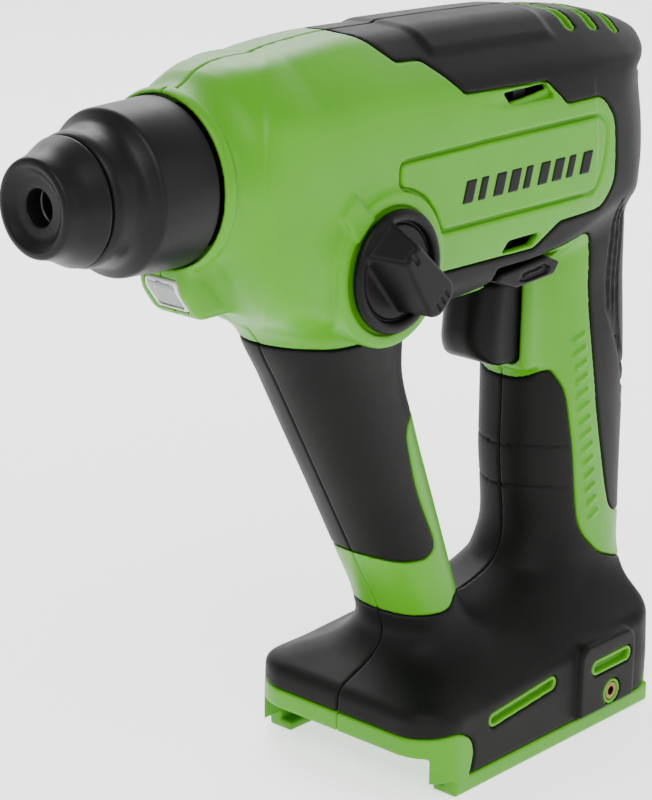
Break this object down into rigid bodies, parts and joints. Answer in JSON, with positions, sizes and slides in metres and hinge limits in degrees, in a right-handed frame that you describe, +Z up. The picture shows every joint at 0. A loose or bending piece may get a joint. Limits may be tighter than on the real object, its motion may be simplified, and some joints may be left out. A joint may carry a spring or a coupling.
{
  "type": "rotary hammer",
  "caption": "Cordless D-handle rotary hammer, bare tool: grooved-shank chuck, side mode dial, trigger grip, front strut and a rail foot for a slide-on battery.",
  "frame": {"origin": "middle of the footprint, on the plane that the foot's rails rest on", "axes": "+X from the chuck towards the back of the grip, +Y to the side away from the mode dial, +Z up"},
  "size_m": [0.255, 0.0861, 0.2368],
  "materials": {
    "green_plastic": "satin moulded, fine spark texture",
    "black_rubber": "matte soft-touch overmould",
    "black_plastic": "satin moulded",
    "steel": "ground and lightly oiled",
    "dark_steel": "blackened",
    "aluminium": "die cast",
    "brass": "plain",
    "board": "solder mask",
    "clear": "clear moulded",
    "white_plastic": "natural nylon"
  },
  "bodies": {
    "casing": {"battery_terminal_1": "brass", "battery_terminal_2": "brass", "foot_overmold_left": "black_rubber", "foot_overmold_right": "black_rubber", "hook_insert_left": "brass", "hook_insert_right": "brass", "housing_left": "green_plastic", "housing_right": "green_plastic", "housing_screw_1": "dark_steel", "housing_screw_2": "dark_steel", "housing_screw_3": "dark_steel", "housing_screw_4": "dark_steel", "rear_overmold_left": "black_rubber", "rear_overmold_right": "black_rubber", "strut_overmold_left": "black_rubber", "strut_overmold_right": "black_rubber", "oil_seal": "black_rubber", "spindle_front_bearing": "steel", "spindle_rear_bearing": "brass", "front_bracket": "aluminium", "spindle_bracket": "aluminium", "motor_bracket": "aluminium", "layshaft_front_bearing": "steel", "layshaft_rear_bearing": "steel", "motor_front_bearing": "steel", "motor_rear_bearing": "steel", "stator": "dark_steel", "sensor_board": "board", "trigger_switch": "black_plastic", "lamp_lens": "clear", "controller_board": "board", "terminal_block": "black_plastic"},
    "spindle": {"tool_holder": "steel", "hammer_tube": "steel", "spindle_gear": "steel", "nose_cap": "black_rubber", "overload_clutch_spring": "steel", "sleeve_spring": "steel"},
    "chuck_sleeve": {"locking_sleeve": "black_plastic"},
    "upper_ball": {"lock_ball_upper": "steel"},
    "lower_ball": {"lock_ball_lower": "steel"},
    "bolt": {"impact_bolt": "steel"},
    "striker": {"striker": "steel"},
    "layshaft": {"layshaft": "steel", "spindle_pinion": "steel", "wobble_hub": "steel", "driven_gear": "steel"},
    "motor_rotor": {"motor_shaft": "steel", "motor_pinion": "steel", "cooling_fan": "black_plastic", "rotor": "dark_steel"},
    "wobble": {"wobble_ring": "steel"},
    "piston": {"piston": "aluminium", "piston_pin": "steel"},
    "shift": {"clutch_sleeve": "steel", "shift_fork": "dark_steel"},
    "dial": {"mode_dial": "black_plastic", "dial_cam": "white_plastic"},
    "trigger": {"trigger": "black_plastic"},
    "selector": {"direction_selector": "black_plastic"}
  },
  "joints": [
    {"name": "spindle_spin", "type": "hinge", "parent": "casing", "child": "spindle", "pos_m": [-0.02, 0, 0.2023], "axis": [1, 0, 0], "continuous": true},
    {"name": "layshaft_spin", "type": "hinge", "parent": "casing", "child": "layshaft", "pos_m": [0, 0, 0.1733], "axis": [1, 0, 0], "continuous": true},
    {"name": "motor_spin", "type": "hinge", "parent": "casing", "child": "motor_rotor", "pos_m": [0.07, 0, 0.19355], "axis": [1, 0, 0], "continuous": true},
    {"name": "sleeve_slide", "type": "slide", "parent": "spindle", "child": "chuck_sleeve", "axis": [1, 0, 0], "range_m": [0, 0.007], "stiffness_N_per_m": 900, "springref_m": -0.004, "deforming": ["sleeve_spring"]},
    {"name": "upper_ball_release", "type": "slide", "parent": "spindle", "child": "upper_ball", "axis": [0, 0, 1], "range_m": [0, 0.0016]},
    {"name": "lower_ball_release", "type": "slide", "parent": "spindle", "child": "lower_ball", "axis": [0, 0, -1], "range_m": [0, 0.0016]},
    {"name": "bolt_slide", "type": "slide", "parent": "spindle", "child": "bolt", "axis": [1, 0, 0], "range_m": [-0.002, 0.003]},
    {"name": "striker_slide", "type": "slide", "parent": "spindle", "child": "striker", "axis": [1, 0, 0], "range_m": [-0.004, 0.003]},
    {"name": "wobble_swing", "type": "hinge", "parent": "casing", "child": "wobble", "pos_m": [0.018, 0, 0.1733], "axis": [0, 1, 0], "range_deg": [-11, 11]},
    {"name": "piston_slide", "type": "slide", "parent": "casing", "child": "piston", "axis": [1, 0, 0], "range_m": [-0.0057, 0.0057]},
    {"name": "mode_turn", "type": "hinge", "parent": "casing", "child": "dial", "pos_m": [-0.0197, -0.03, 0.1719], "axis": [0, 1, 0], "range_deg": [-60, 60]},
    {"name": "mode_shift", "type": "slide", "parent": "casing", "child": "shift", "axis": [1, 0, 0], "range_m": [-0.00293, 0.00293]},
    {"name": "trigger_pull", "type": "slide", "parent": "casing", "child": "trigger", "axis": [1, 0, 0], "range_m": [0, 0.006], "stiffness_N_per_m": 900, "springref_m": -0.004},
    {"name": "direction_shift", "type": "slide", "parent": "casing", "child": "selector", "axis": [0, 1, 0], "range_m": [-0.003, 0.003]}
  ],
  "couplings": [
    {"joint": "layshaft_spin", "follows": "spindle_spin", "ratio": -3.4615},
    {"joint": "motor_spin", "follows": "spindle_spin", "ratio": 13.846},
    {"joint": "upper_ball_release", "follows": "sleeve_slide", "ratio": 0.22},
    {"joint": "lower_ball_release", "follows": "sleeve_slide", "ratio": 0.22},
    {"joint": "piston_slide", "follows": "wobble_swing", "m_per_rad": 0.029},
    {"joint": "mode_turn", "follows": "mode_shift", "rad_per_m": 357.14}
  ]
}
